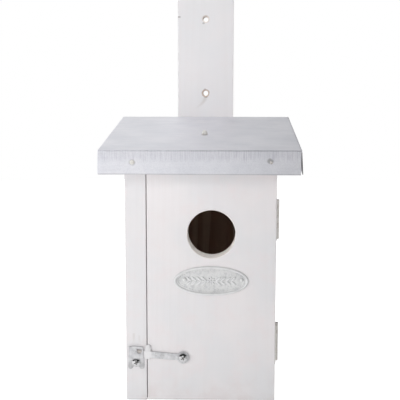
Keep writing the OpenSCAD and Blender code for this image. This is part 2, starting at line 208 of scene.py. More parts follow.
def boardFinish(name, look):
    f = Finish(bpy.data.materials.new(name))
    here = f.place(shift=[look["seed"] * part for part in coat["seedSteps"]])
    axis = dict(zip("xyz", f.axes(f.place())))
    along = look["grain"]
    across, through = [a for a in "xyz" if a != along]
    slow = [wood["slow"][a != along] for a in "xyz"]
    fine = [wood["fine"][a != along] for a in "xyz"]

    # growth rings round the log's heart, warped along the grain
    warp = f.noise(f.stretched(here, slow), 1.0)
    du = axis[across] - look["heart"][0] * mm + (warp - 0.5) * (wood["ringWarp"] * mm)
    dv = axis[through] - look["heart"][1] * mm
    radius = away(du, dv) + axis[along] * wood["ringDrift"]
    ring = (radius / (wood["ringGap"] * mm)).fract()
    late = f.step(ring, 0.3, 0.9) - f.step(ring, 0.92, 1.0)
    fibre = f.noise(f.stretched(here, fine), 1.0, 3.0)

    # paint: two whites in clouds, rosy patches, a trace of the grain
    cloud = f.noise(here, coat["cloudScale"], 3.0)
    patch = f.noise(here, coat["patchScale"], 3.0, 0.6)
    paint = f.mix(f.step(cloud, look.get("cool", coat["coolFrom"]), 0.66), coat["warm"], coat["cool"])
    paint = f.mix(f.step(patch, 0.46, 0.72) * look.get("rosy", coat["rosyShare"]), paint, coat["rosy"])
    paint = f.mix(late * coat["ringTrace"], paint, coat["grain"])
    paint = f.mix(f.step(fibre, 0.52, 0.8) * coat["fibreTrace"], paint, coat["grain"])

    # thin paint along the arrises, and a little dirt near the ground
    low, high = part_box(look["node"])
    edge = {}
    for i, a in enumerate("xyz"):
        edge[a] = (high[i] - low[i]) / 2 - abs(axis[a] - (low[i] + high[i]) / 2)
    near = edge["x"].least(edge["y"])
    far = edge["x"].most(edge["y"])
    uneven = (f.noise(here, coat["wearScale"], 3.0) - 0.5) * (coat["wearRagged"] * mm)
    arris = near.most(far.least(edge["z"])) + uneven
    paint = f.mix(f.stepMm(arris, coat["wearWidth"], 0.0) * coat["wear"], paint, coat["thin"])
    dirt = f.stepMm(axis["z"], coat["dirtHeight"], 0.0) * f.step(patch, 0.42, 0.7)
    paint = f.mix(dirt * coat["dirtShare"], paint, coat["dirt"])
    if "marks" in look:  # marks on the front face alone
        front = f.stepMm(axis["y"] - low.y, *coat["frontDepth"])
        marked = paint
        for mark in look["marks"]:
            marked = mark(f, axis, here, marked)
        paint = f.mix(front, paint, marked)
    # hole walls in their own colours; the pale ones are painted light lifting the shade in the bores
    for bore in look.get("bores", []):
        paint = boreWallColour(f, axis, paint, *bore)

    colour = paint
    roughness = (cloud - 0.5) * coat["unevenness"] + coat["roughness"]
    if "bareFace" in look:
        bare = f.mix(late, wood["early"], wood["late"])
        bare = f.mix(f.step(fibre, 0.45, 0.85) * wood["fibreShare"], bare, wood["fibre"])
        bare = f.mix(f.step(cloud, 0.3, 0.7) * wood["cloudShare"], bare, wood["late"])
        side, sign, limit = look["bareFace"]
        mask = f.stepMm(axis[side] * sign, sign * limit - 0.1, sign * limit + 0.1)
        ragged = (f.noise(here, wood["raggedScale"], 3.0) - 0.5) * (wood["ragged"] * mm)
        for a, (start, end) in look.get("bareArea", {}).items():
            centre = (start + end) / 2 * mm
            inside = (end - start) / 2 * mm - abs(axis[a] - centre) + ragged
            mask = mask * f.stepMm(inside, 0.0, 0.6)
        colour = f.mix(mask, paint, bare)
        roughness = roughness + mask * (wood["roughness"] - coat["roughness"])
    height = fibre * 0.6 + late * 0.25 + patch * 0.5
    return f.close({"Base Color": colour, "Roughness": roughness, "Normal": f.bump(height, coat["brush"])})


roof = {"eave": (0.0, -107.107, 255.355), "slope": 7.5}
roofFrame = (Matrix.Translation(millimetres(*roof["eave"]))
             @ Matrix.Rotation(math.radians(roof["slope"]), 4, "X"))


def zincFinish():
    look = {
        "light": shown(237, 237, 242), "dark": shown(228, 229, 235), "streak": shown(164, 160, 176),
        # the dirt colour darkens the rings round the nails and the lip's bottom edge, dirt and painted
        # shade; the fold colour is painted shade in the crease, and the darkest one is painted shade at the
        # gap in the right corner
        "dirtAndShade": shown(112, 108, 106), "foldShadeAndRub": shown(150, 150, 158), "cut": shown(44, 42, 42),
        "metallic": 0.72, "roughness": 0.48, "dents": 0.0002, "rubbedMetal": 0.5, "rubbedRough": 0.2,
        "cloudScale": 26.0, "spangleScale": 130.0, "spangleShare": 0.5, "rolledShare": 0.4,
        "scuffShare": 0.22, "scuffMore": 0.08, "drawnShare": 0.06,
        "grainScale": 900.0, "grainShare": 0.02, "lipGrain": 0.07, "haloRagged": 4.0,
        "foldShadeShare": 0.35, "hem": (-21.6, -22.4), "hemShare": 0.3, "cutShare": 0.85,
        "halos": [(2.4, 82.0, 0.7, 5.0, 0.4), (-64.0, -0.7, -11.0, 3.6, 0.35),
                  (67.0, -0.7, -9.6, 3.6, 0.5)],  # place, size and share of the dark ring round each nail: dirt and painted shade
    }
    f = Finish(bpy.data.materials.new("zinc sheet"))
    here = f.placeIn(millimetres(*roof["eave"]), (math.radians(roof["slope"]), 0, 0))
    x, y, z = f.axes(here)
    cloud = f.noise(here, look["cloudScale"], 4.0, 0.55)
    spangle = f.noise(f.stretched(here, (0.6, 1.6, 1.0)), look["spangleScale"], 3.0, 0.6)
    rolled = f.noise(f.stretched(here, (6.0, 620.0, 620.0)), 1.0, 2.0)
    drawn = f.noise(f.stretched(here, (22.0, 190.0, 190.0)), 1.0, 3.0, 0.65)
    grain = f.noise(here, look["grainScale"], 2.0, 0.6)
    colour = f.mix(f.step(cloud, 0.3, 0.7), look["light"], look["dark"])
    colour = f.mix(f.step(spangle, 0.45, 0.75) * look["spangleShare"], colour, look["dark"])
    colour = f.mix(f.step(rolled, 0.5, 0.8) * look["rolledShare"], colour, look["light"])

    # fine upright scuffs below the front fold, left by the folding bar, more of them on the right
    lip = f.stepMm(y, 1.2, 0.4)
    scuff = f.noise(f.stretched(here, (1250.0, 1.0, 24.0)), 1.0, 2.0, 0.6)
    patchy = f.noise(f.stretched(here, (60.0, 1.0, 30.0)), 1.0, 2.0)
    reach = f.noise(f.stretched(here, (240.0, 0.0, 0.0)), 1.0, 3.0, 0.6) * 0.02 - 0.019
    scuffs = f.step(scuff, 0.44, 0.62) * lip * f.stepMm(z - reach, -2.0, 4.0) * f.step(patchy, 0.2, 0.45)
    scuffShare = f.stepMm(x, 0.0, 40.0) * look["scuffMore"] + look["scuffShare"]
    colour = f.mix(scuffs * scuffShare, colour, look["streak"])

    # long streaks from the rolling, and a fine grain that shows most on the lip
    colour = f.mix(f.step(drawn, 0.48, 0.72) * look["drawnShare"], colour, look["streak"])
    grainShare = lip * look["lipGrain"] + look["grainShare"]
    colour = f.mix(f.step(grain, 0.4, 0.65) * grainShare, colour, look["streak"])

    # the fold is rubbed, most of all on the left, and coloured darker as painted shade in the crease; the
    # lip is darker along its bottom edge
    foldShadeAndRub = f.stepMm(y, 0.9, 0.4) * f.stepMm(z, -0.7, -0.3)
    along = f.noise(f.stretched(here, (110.0, 0.0, 0.0)), 1.0, 3.0, 0.6)
    rubbed = foldShadeAndRub * (f.step(along - x * 2.0, 0.44, 0.62) * 0.7 + 0.3)
    colour = f.mix(foldShadeAndRub * look["foldShadeShare"], colour, look["foldShadeAndRub"])
    colour = f.mix(lip * f.stepMm(z, *look["hem"]) * look["hemShare"], colour, look["dirtAndShade"])

    # painted shade: the front end of the right side lip, at the gap in the corner, is darkened
    cut = f.stepMm(y, 2.3, 2.1) * f.stepMm(x, 96.3, 96.6) * f.stepMm(z, -1.0, -2.0)
    colour = f.mix(cut * look["cutShare"], colour, look["cut"])

    # dirt and painted shade round the nails
    for nx, ny, nz, size, share in look["halos"]:
        off = ((x - nx * mm) ** 2 + (y - ny * mm) ** 2 + (z - nz * mm) ** 2) ** 0.5
        halo = f.stepMm(off + (spangle - 0.5) * (look["haloRagged"] * mm), size, size * 0.5)
        colour = f.mix(halo * share, colour, look["dirtAndShade"])
    roughness = cloud * 0.06 + scuffs * 0.1 + look["roughness"]
    height = cloud * 0.05 + scuffs * 0.4 + rolled * 0.25
    return f.close({
        "Base Color": colour, "Metallic": look["metallic"] - rubbed * look["rubbedMetal"],
        "Roughness": roughness + rubbed * look["rubbedRough"], "Normal": f.bump(height, look["dents"]),
    })


steelWear = {"spotScale": 420.0, "scratchShare": 0.3, "unevenness": 0.2, "dents": 0.00006}  # on all steel


def steelFinish(name, look):
    f = Finish(bpy.data.materials.new(name))
    here = f.place()
    cloud = f.noise(here, look["cloud"], 3.0, 0.6)
    scratch = f.noise(f.stretched(here, look["brushing"]), 1.0, 2.0)
    spots = f.noise(here, steelWear["spotScale"], 2.0, 0.7)
    colour = f.mix(f.step(cloud, 0.35, 0.7), look["light"], look["dark"])
    colour = f.mix(f.step(scratch, 0.5, 0.75) * steelWear["scratchShare"], colour, look["dark"])
    colour = f.mix(f.step(spots, 0.58, 0.72) * look["tarnishShare"], colour, look["tarnish"])
    if "pale" in look:  # painted reflection: lighter along the finger tab; painted shade: darker beyond it, where the bar's tip lies in the catch
        x = f.axes(here)[0]
        colour = f.mix(f.stepMm(x, *look["paleFrom"]) * look["paintedLightShare"], colour, look["pale"])
        colour = f.mix(f.stepMm(x, *look["dustAndShadeFrom"]) * look["paintedLightShare"], colour, look["dustAndShade"])
    if "foot" in look:  # tarnished towards its foot
        z = f.axes(here)[2]
        colour = f.mix(f.stepMm(z, *look["foot"]) * look["footShare"], colour, look["tarnish"])
    uneven = steelWear["unevenness"]
    roughness = cloud * uneven + (look["roughness"] - uneven / 2)
    return f.close({
        "Base Color": colour, "Metallic": look.get("metallic", 1.0), "Roughness": roughness,
        "Normal": f.bump(scratch * 0.5 + cloud, steelWear["dents"]),
    })


plated = steelFinish("zinc-plated steel", {
    "light": shown(224, 224, 226), "dark": shown(198, 198, 201), "tarnish": shown(148, 142, 136),
    "tarnishShare": 0.3, "cloud": 130.0, "brushing": (30.0, 900.0, 900.0),
    "roughness": 0.46, "metallic": 0.7, "paintedLightShare": 0.85,
    # pale is a painted reflection on the finger tab; the darker colour beyond it is painted shade on the
    # bar's tip inside the catch
    "pale": shown(236, 235, 236), "paleFrom": (-47.5, -50.5),
    "dustAndShade": shown(190, 183, 178), "dustAndShadeFrom": (-57.0, -57.6),
})
catchSteel = steelFinish("worn plated steel", {
    "light": shown(226, 226, 228), "dark": shown(204, 204, 207), "tarnish": shown(132, 126, 120),
    "tarnishShare": 0.45, "cloud": 150.0, "brushing": (900.0, 900.0, 40.0),
    "roughness": 0.48, "metallic": 0.8, "foot": (46.0, 37.0), "footShare": 0.2,
})
hingeSteel = steelFinish("hinge steel", {
    "light": shown(246, 244, 240), "dark": shown(230, 226, 220), "tarnish": shown(120, 108, 98),
    "tarnishShare": 0.55, "cloud": 160.0, "brushing": (900.0, 900.0, 30.0),
    "roughness": 0.4, "metallic": 0.35,
})
screwSteel = steelFinish("screw steel", {
    "light": shown(222, 222, 223), "dark": shown(200, 200, 202), "tarnish": shown(150, 146, 140),
    "tarnishShare": 0.2, "cloud": 260.0, "brushing": (500.0, 500.0, 500.0), "roughness": 0.2,
})
nailSteel = steelFinish("nail steel", {
    "light": shown(192, 190, 187), "dark": shown(158, 154, 149), "tarnish": shown(124, 104, 86),
    "tarnishShare": 0.4, "cloud": 300.0, "brushing": (400.0, 400.0, 400.0), "roughness": 0.42,
})
dullNail = steelFinish("dull nail steel", {
    "light": shown(230, 228, 225), "dark": shown(209, 205, 200), "tarnish": shown(146, 128, 110),
    "tarnishShare": 0.45, "cloud": 300.0, "brushing": (400.0, 400.0, 400.0),
    "roughness": 0.6, "metallic": 0.25,
})
plateNail = steelFinish("bright nail steel", {
    "light": shown(238, 238, 238), "dark": shown(218, 218, 219), "tarnish": shown(150, 140, 132),
    "tarnishShare": 0.3, "cloud": 300.0, "brushing": (400.0, 400.0, 400.0),
    "roughness": 0.36, "metallic": 0.6,
})
rustyNail = steelFinish("rusty nail steel", {
    "light": shown(232, 229, 226), "dark": shown(207, 202, 198), "tarnish": shown(112, 98, 88),
    "tarnishShare": 0.5, "cloud": 420.0, "brushing": (400.0, 400.0, 400.0),
    "roughness": 0.6, "metallic": 0.1,
})
# dust and painted shade in the cross recesses of the screws
recessDustAndShade = steelFinish("dust and painted shade in the recess", {
    "light": shown(128, 125, 122), "dark": shown(96, 92, 89), "tarnish": shown(60, 54, 50),
    "tarnishShare": 0.5, "cloud": 500.0, "brushing": (500.0, 500.0, 500.0),
    "roughness": 0.7, "metallic": 0.1,
})
zinc = zincFinish()
print("metal finishes made")


# mesh helpers

weld = 1e-6  # points closer than this are merged
flatAngle = 0.3  # faces that meet within this many degrees are joined


def addPiece(name, bm, material, body, replaced=(), angle=35):
    mesh = bpy.data.meshes.new(name)
    bm.to_mesh(mesh)
    bm.free()
    for each in material if isinstance(material, list) else [material]:
        mesh.materials.append(each)
    mesh.polygons.foreach_set("use_smooth", [True] * len(mesh.polygons))
    mesh.set_sharp_from_angle(angle=math.radians(angle))
    piece = bpy.data.objects.new(name, mesh)
    scene.collection.objects.link(piece)
    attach(piece, body)
    if replaced:
        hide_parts(*replaced)


def nodeCopy(node):  # a node's mesh, merged, with its flat faces joined
    bm = bmesh.new()
    bm.from_mesh(nodes[node].data)
    bmesh.ops.remove_doubles(bm, verts=bm.verts, dist=weld)
    bmesh.ops.dissolve_limit(bm, angle_limit=math.radians(flatAngle), verts=bm.verts, edges=bm.edges)
    return bm


def edgesOf(geom):
    return [g for g in geom if isinstance(g, bmesh.types.BMEdge)]


def vertsOf(geom):
    return [g for g in geom if isinstance(g, bmesh.types.BMVert)]


def extruded(bm, edges):  # a new row of edges and its points
    new = bmesh.ops.extrude_edge_only(bm, edges=edges)["geom"]
    return edgesOf(new), vertsOf(new)


ease = {"boards": 0.7, "catch": 0.22, "bar": 0.3, "leaf": 0.15, "sharp": 40.0, "shortest": 12.0}


def easeEdges(bm, offset, segments=2, shortest=0.0):  # rounds the sharp edges, but not the short ones
    edges = []
    for e in bm.edges:
        if len(e.link_faces) == 2 and e.calc_face_angle(0) > math.radians(ease["sharp"]):
            if e.calc_length() > shortest * mm:
                edges.append(e)
    bmesh.ops.bevel(bm, geom=edges, offset=offset * mm, offset_type="OFFSET", affect="EDGES",
                    segments=segments, profile=0.5, material=-1, clamp_overlap=True)


def turned(bm, place, profile, segments=24):  # a lathe: radius and height pairs, spun round local Z
    before = set(bm.verts)
    line = [bm.verts.new((r * mm, 0, h * mm)) for r, h in profile]
    edges = [bm.edges.new(pair) for pair in zip(line, line[1:])]
    bmesh.ops.spin(bm, geom=line + edges, cent=(0, 0, 0), axis=(0, 0, 1), dvec=(0, 0, 0),
                   angle=math.tau, steps=segments, use_merge=True)
    made = [v for v in bm.verts if v not in before]
    bmesh.ops.remove_doubles(bm, verts=made, dist=weld)
    made = [v for v in bm.verts if v not in before]
    faces = list({face for v in made for face in v.link_faces})
    bmesh.ops.recalc_face_normals(bm, faces=faces)
    bmesh.ops.transform(bm, matrix=place, verts=made)


# boards of the box, roof and door

stains = {"ring": shown(128, 98, 78), "ringScale": 240.0, "ringRagged": 1.2, "drip": shown(150, 128, 104),
          "nick": shown(96, 84, 76), "nickScale": 400.0, "nickRagged": 1.2}


def ringMark(centre, radius, spread, share):  # bare, darkened ring round a drilled hole
    def mark(f, axis, here, paint):
        off = away(axis["x"] - centre[0] * mm, axis["z"] - centre[1] * mm)
        off = off + (f.noise(here, stains["ringScale"], 2.0) - 0.5) * (stains["ringRagged"] * mm)
        return f.mix(f.stepMm(off, radius + spread, radius) * share, paint, stains["ring"])
    return mark


def dripMark(start, run, lean, width, share):  # a faint run of sap or rust water below a hole
    def mark(f, axis, here, paint):
        fall = start[1] * mm - axis["z"]
        bend = fall * fall * (lean / run / run / mm)
        side = abs(axis["x"] - start[0] * mm - bend)
        mask = f.stepMm(side, width, 0.0) * f.stepMm(fall, run, run * 0.3) * f.stepMm(fall, 0.0, 1.0)
        return f.mix(mask * share, paint, stains["drip"])
    return mark


def nickMark(centre, wide, tall, share):  # a small dark knock
    def mark(f, axis, here, paint):
        u = (axis["x"] - centre[0] * mm) / (wide * mm)
        v = (axis["z"] - centre[1] * mm) / (tall * mm)
        off = away(u, v) + (f.noise(here, stains["nickScale"], 2.0) - 0.5) * stains["nickRagged"]
        return f.mix(f.step(off, 1.0, 0.4) * share, paint, stains["nick"])
    return mark


doorHole = {"middle": (10.85, 171.0), "radius": 24.0, "points": 96,
            "ease": 0.6, "backEase": 0.3, "land": 9.0, "roundness": 0.3}
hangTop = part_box("hanging_board")[1].z / mm
upperHole = (0.0, hangTop - 22.0)
lowerHole = (0.0, hangTop - 107.0)
torn = {"narrowing": 0.9, "depth": 1.2, "reach": 0.5}
boards = {
    "left_wall": {
        # cool 0.1 gives this wall more of the cooler, darker white: painted shade that tones down its front
        # edge under the key lamp
        "body": "box", "grain": "z", "heart": (-40.0, -150.0), "seed": 1.3, "cool": 0.1,
        "bareFace": ("x", 1, -54.3), "bareArea": {"y": (-58.0, 200.0)},
        "marks": [dripMark((-67.0, 70.0), 12.0, 0.0, 2.0, 0.14),
                  dripMark((-61.5, 68.0), 10.0, 0.4, 1.6, 0.1)],
    },
    "right_wall": {
        "body": "box", "grain": "z", "heart": (30.0, 190.0), "seed": 2.9,
        "bareFace": ("x", -1, 54.3),
    },
    "back_wall": {
        "body": "box", "grain": "z", "heart": (20.0, 160.0), "seed": 4.1,
        "bareFace": ("y", -1, 71.2),
    },
    "floor_board": {
        "body": "box", "grain": "y", "heart": (-30.0, -60.0), "seed": 5.7,
        "bareFace": ("z", 1, 17.7),
    },
    "roof_board": {
        "body": "box", "grain": "x", "heart": (40.0, 320.0), "seed": 7.3,
        "bareFace": ("z", 1, 0.0), "bareArea": {"x": (-54.0, 54.0), "y": (-55.0, 71.0)},
    },
    "hanging_board": {
        "body": "box", "grain": "z", "heart": (8.0, 40.0), "seed": 8.6, "cool": 0.1, "rosy": 0.15,
        # the upper bore's pale wall is painted light that lifts its shade
        "bores": [(*upperHole, 4.0, wood["rim"]), (*lowerHole, 4.0, wood["torn"])],
        "marks": [ringMark(upperHole, 4.2, 0.5, 0.3), ringMark(lowerHole, 4.1, 0.9, 0.5),
                  dripMark((-0.3, 305.8), 16.0, -15.0, 3.8, 0.22),
                  nickMark((-31.0, 397.0), 3.6, 1.1, 0.5), nickMark((-2.6, 389.8), 1.9, 1.4, 0.4),
                  nickMark((0.4, 305.0), 3.0, 0.9, 0.5), nickMark((-0.8, 314.2), 2.0, 1.0, 0.35)],
    },
    "door": {
        "body": "door", "grain": "z", "heart": (30.0, -190.0), "seed": 10.2,
        "bareFace": ("y", 1, -56.4), "bareArea": {"x": (-49.0, 71.0), "z": (5.0, 226.0)},
        # the hole's wall is near white: painted light that lifts its shade
        "bores": [(*doorHole["middle"], 24.2, coat["bore"])],
        "marks": [ringMark(doorHole["middle"], 24.1, 0.6, 0.12)],
    },
}


def doorPanel():  # loops run from the back rim of the hole, over the front and round to the back again
    low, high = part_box("door")
    cx, cz = [part * mm for part in doorHole["middle"]]
    r, rim, backRim, land = [doorHole[name] for name in ("radius", "ease", "backEase", "land")]
    e = ease["boards"]
    near = e * doorHole["roundness"]
    back = (high.y - low.y) / mm
    loops = [
        ("round", r + backRim, back), ("round", r, back - backRim), ("round", r, rim),
        ("round", r + rim, 0.0), ("round", r + land, 0.0),
        ("square", e, 0.0), ("square", near, near), ("square", 0.0, e),
        ("square", 0.0, back - e), ("square", near, back - near), ("square", e, back),
        ("round", r + land, back), ("round", r + backRim, back),
    ]
    points = doorHole["points"]
    angles = [math.tau * i / points for i in range(points)]
    for x in (low.x, high.x):  # one point of every loop falls on each corner
        for z in (low.z, high.z):
            corner = math.atan2(z - cz, x - cx) % math.tau
            angles[round(corner / math.tau * points) % points] = corner

    def spot(angle, kind, size, depth):
        du, dv = math.cos(angle), math.sin(angle)
        if kind == "round":
            return Vector((cx + du * size * mm, low.y + depth * mm, cz + dv * size * mm))
        far = 9.0  # past any edge
        reach = min(((high.x if du > 0 else low.x) - cx) / du if abs(du) > 1e-9 else far,
                    ((high.z if dv > 0 else low.z) - cz) / dv if abs(dv) > 1e-9 else far)
        x = min(max(cx + du * reach, low.x + size * mm), high.x - size * mm)
        z = min(max(cz + dv * reach, low.z + size * mm), high.z - size * mm)
        return Vector((x, low.y + depth * mm, z))

    bm = bmesh.new()
    turnOf = bm.verts.layers.int.new("turn")
    ring = bmesh.ops.create_circle(bm, cap_ends=False, segments=points, radius=1.0)["verts"]
    for i, v in enumerate(ring):
        v[turnOf] = i
        v.co = spot(angles[i], *loops[0])
    edges = list(bm.edges)
    for loop in loops[1:]:
        edges, verts = extruded(bm, edges)
        for v in verts:
            v.co = spot(angles[v[turnOf]], *loop)
    bmesh.ops.remove_doubles(bm, verts=bm.verts, dist=weld)
    bmesh.ops.recalc_face_normals(bm, faces=bm.faces)
    return bm


def tornBores(bm, node, bores):  # torn fibres narrow a rough bore just inside its mouths
    low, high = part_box(node)
    for x, z, radius, _ in bores:
        heart = millimetres(x, 0, z)
        walls = []
        for e in bm.edges:
            flat = [Vector((v.co.x, 0, v.co.z)) - heart for v in e.verts]
            deep = abs(e.verts[0].co.y - e.verts[1].co.y) > (high.y - low.y) / 2
            if deep and max(part.length for part in flat) < (radius + torn["reach"]) * mm:
                walls.append(e)
        split = bmesh.ops.subdivide_edges(bm, edges=walls, cuts=2)["geom_inner"]
        for v in vertsOf(split):
            out = (Vector((v.co.x, 0, v.co.z)) - heart).normalized() * (radius - torn["narrowing"]) * mm
            nearFront = v.co.y < (low.y + high.y) / 2
            y = low.y + torn["depth"] * mm if nearFront else high.y - torn["depth"] * mm
            v.co = Vector((heart.x + out.x, y, heart.z + out.z))


for node, look in boards.items():
    look["node"] = node
    if node == "door":
        bm = doorPanel()
    else:
        bm = nodeCopy(node)
        easeEdges(bm, ease["boards"], shortest=ease["shortest"])
        tornBores(bm, node, look.get("bores", []))
    addPiece(node + "_eased", bm, boardFinish("painted " + node.replace("_", " "), look),
             look["body"], [node], angle=20)
print("boards eased and painted")


# zinc sheet of the roof: top, front lip and two side lips with rounded folds, open at the corners

sheet = {
    "halfWidth": 96.2, "length": 200.717, "thick": 0.7, "backGap": 1.0, "fold": 0.75, "foldSteps": 4,
    "lipDrop": 22.9, "lipSteps": (0.02, 0.15, 0.32, 0.49, 0.66, 0.83, 1.0), "flare": {-1: 2.5, 1: 3.6},
    "corner": 1.6, "support": 0.5, "columns": 36, "rows": 30, "reachLeft": 96.9, "reachRight": 96.0,
    "slit": 1.0, "reachStart": 0.3, "reachGrowth": 3,
    "wave": 0.06, "waveLength": 38, "lipWave": 1.6, "hemWave": 0.25,
}


def wavy(place, size):
    return noise.noise(place / (sheet["waveLength"] * mm)) * size * mm


def roofSheet():
    bm = bmesh.new()
    half = sheet["thick"] / 2
    r = sheet["fold"]
    xEnd = sheet["halfWidth"] + half - r
    yStart = r - half
    yEnd = sheet["length"] - sheet["backGap"]
    cols, rows = sheet["columns"], sheet["rows"]
    bmesh.ops.create_grid(bm, x_segments=cols, y_segments=rows, size=1.0)
    for v in bm.verts:  # the outer rows and columns are narrow, so that the folds stay crisp
        row = round((v.co.y + 1) / 2 * rows)
        col = round((v.co.x + 1) / 2 * cols)
        depth = yStart + sheet["corner"]
        y = depth + (yEnd - depth) * (row - 2) / (rows - 2)
        if row < 2:
            y = yStart + sheet["support"] * row
        inside = xEnd - sheet["support"]
        x = inside * (2 * (col - 1) / (cols - 2) - 1)
        if col in (0, cols):
            x = math.copysign(xEnd, v.co.x)
        v.co = millimetres(x, y, sheet["thick"])
    tol = 1e-5
    front = [e for e in bm.edges if all(abs(v.co.y - yStart * mm) < tol for v in e.verts)]
    behindSlit = (yStart + sheet["slit"]) * mm
    sides = {}
    for sign in (-1, 1):  # the side folds start behind the slit at the corner
        sides[sign] = [e for e in bm.edges if all(abs(v.co.x - sign * xEnd * mm) < tol
                                                  and v.co.y > behindSlit for v in e.verts)]

    def fold(edges, centre, axis, angle, down):
        geom = edges + list({v for e in edges for v in e.verts})
        bent = bmesh.ops.spin(bm, geom=geom, cent=centre, axis=axis, dvec=(0, 0, 0),
                              angle=math.radians(angle), steps=sheet["foldSteps"], use_merge=False)
        last = edgesOf(bent["geom_last"])
        done = 0.0
        for share in sheet["lipSteps"]:
            last, verts = extruded(bm, last)
            bmesh.ops.translate(bm, verts=verts, vec=down * (share - done))
            done = share

    drop = sheet["lipDrop"] + half - r
    fold(front, millimetres(0, yStart, half - r), (1, 0, 0), 90, millimetres(0, 0, -drop))
    for sign, edges in sides.items():
        flare = sheet["flare"][sign]
        lean = math.radians(flare)
        down = millimetres(sign * math.sin(lean) * drop, 0, -math.cos(lean) * drop)
        fold(edges, millimetres(sign * xEnd, 0, half - r), (0, sign, 0), 90 - flare, down)

    # the front lip's left end covers the side lip, its right end leaves a gap,
    # and the metal is never quite flat
    lipWave = sheet["wave"] * sheet["lipWave"]
    past = 0.2 * mm
    for v in bm.verts:
        low = -v.co.z / (sheet["lipDrop"] * mm)
        hang = max(0.0, low)
        if v.co.y < yStart * mm - past:
            reach = sheet["reachLeft"] if v.co.x < 0 else sheet["reachRight"]
            grown = min(1.0, max(0.0, low * sheet["reachGrowth"] + sheet["reachStart"]))
            v.co.x *= 1 + (reach / xEnd - 1) * grown
            v.co.y -= abs(wavy(v.co, lipWave)) * hang
            v.co.z += wavy(v.co + Vector((3, 0, 0)), sheet["hemWave"]) * hang
        elif abs(v.co.x) > xEnd * mm + past:
            v.co.x += math.copysign(abs(wavy(v.co, lipWave)) * hang, v.co.x)
        else:
            v.co.z += abs(wavy(v.co, sheet["wave"]))
    bmesh.ops.recalc_face_normals(bm, faces=bm.faces)
    highest = max(bm.faces, key=lambda face: face.calc_center_median().z)
    if highest.normal.z < 0:  # the wall grows inwards
        bmesh.ops.reverse_faces(bm, faces=bm.faces)
    bmesh.ops.solidify(bm, geom=bm.faces[:], thickness=sheet["thick"] * mm)
    bmesh.ops.transform(bm, matrix=roofFrame, verts=bm.verts)
    addPiece("roof_sheet_folded", bm, zinc, "box", ["roof_sheet"], angle=40)


roofSheet()
print("roof sheet folded")


# nails with domed heads

nail = {
    "rim": 0.3, "shank": 1.8, "length": 15.0, "tip": 2.0, "askew": 34.0, "domeSteps": (90, 68, 46, 24, 0),
    "under": 0.96, "underRise": 0.02, "rustyFrom": 50.0,  # below, heads with their width and rise
    "lipHead": (4.6, 0.3), "bentHead": (3.0, 0.3), "topHead": (6.2, 4.0), "plateHead": (4.0, 0.8),
    "lip": (-64.0, -0.7, -10.85), "bent": (68.0, -1.6, -10.85), "top": (2.4, 85.0, 0.7),
    "plate": ((-26.4, 1.5), (30.2, 1.5)), "plateRise": 0.8, "plateClear": 2.8,
}


def nailProfile(head, rise):
    r = head / 2
    dome = [(r * math.cos(math.radians(a)), nail["rim"] + rise * math.sin(math.radians(a)))
            for a in nail["domeSteps"]]
    shank, length = nail["shank"] / 2, nail["length"]
    under = (r * nail["under"], nail["underRise"])
    return dome + [under, (shank, 0.0), (shank, nail["tip"] - length), (0.0, -length)]


bm = bmesh.new()
askew = faceFront @ Matrix.Rotation(math.radians(nail["askew"]), 4, Vector((1, 1, 0)))
for name, turn in (("lip", faceFront), ("bent", askew), ("top", Matrix.Identity(4))):
    place = roofFrame @ Matrix.Translation(millimetres(*nail[name])) @ turn
    turned(bm, place, nailProfile(*nail[name + "Head"]))
for face in bm.faces:  # the right one has rusted
    face.material_index = 1 if face.calc_center_median().x > nail["rustyFrom"] * mm else 0
addPiece("roof_nails_domed", bm, [dullNail, rustyNail], "box", ["roof_nails"])

plateMid = middle("oval_plate")
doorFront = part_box("door")[0].y
onPlate = Matrix.Translation((plateMid.x, doorFront, plateMid.z)) @ faceFront
bm = bmesh.new()
for x, y in nail["plate"]:
    place = onPlate @ Matrix.Translation(millimetres(x, y, nail["plateRise"]))
    turned(bm, place, nailProfile(*nail["plateHead"]))
addPiece("plate_nails_domed", bm, plateNail, "door", ["plate_nails"])
print("nails made")


# oval plate: pressed metal with a rounded rim, a row of beads and a leaf sprig

plate = {
    "width": 74.4, "height": 30.0, "field": 0.8, "points": 96,
    "rim": [(0.0, 0.9), (0.3, 1.3), (1.0, 1.5), (1.9, 1.45), (2.4, 1.15), (2.7, 0.8)],  # inward and up
    "beads": 56, "beadIn": 4.1, "bead": (0.5, 0.5, 0.5), "stalk": (21.0, 0.6, 0.5),
    "leaves": (4.6, 9.6, 14.6, 19.6), "leaf": (3.5, 1.3, 0.7), "leafSlant": (1.1, 0.9), "leafOut": 0.95,
    "petals": 8, "petalOut": 2.7, "petal": (1.9, 1.0, 0.8), "heart": (1.4, 1.4, 1.1), "bossSides": (12, 8),
}


def plateFinish():
    look = {"raised": shown(231, 231, 232), "field": shown(226, 226, 226), "low": shown(192, 193, 195),
            "cloudScale": 90.0, "cloudShare": 0.3, "grimeScale": 360.0, "grimeShare": 0.6,
            "metallic": 0.4, "roughness": 0.38, "unevenness": 0.2, "dents": 0.00018}
    f = Finish(bpy.data.materials.new("pressed plate metal"))
    here = f.place()
    rise = doorFront - f.axes(here)[1]
    cloud = f.noise(here, look["cloudScale"], 4.0, 0.6)
    grime = f.noise(here, look["grimeScale"], 3.0, 0.65)
    colour = f.mix(f.stepMm(rise, 0.7, 1.3), look["field"], look["raised"])
    soiled = f.step(grime, 0.46, 0.7) * f.stepMm(rise, 1.2, 0.8)
    colour = f.mix(soiled * look["grimeShare"], colour, look["low"])
    colour = f.mix(f.step(cloud, 0.4, 0.75) * look["cloudShare"], colour, look["low"])
    return f.close({
        "Base Color": colour, "Metallic": look["metallic"],
        "Roughness": cloud * look["unevenness"] + look["roughness"],
        "Normal": f.bump(grime * 0.6 + cloud * 0.4, look["dents"]),
    })


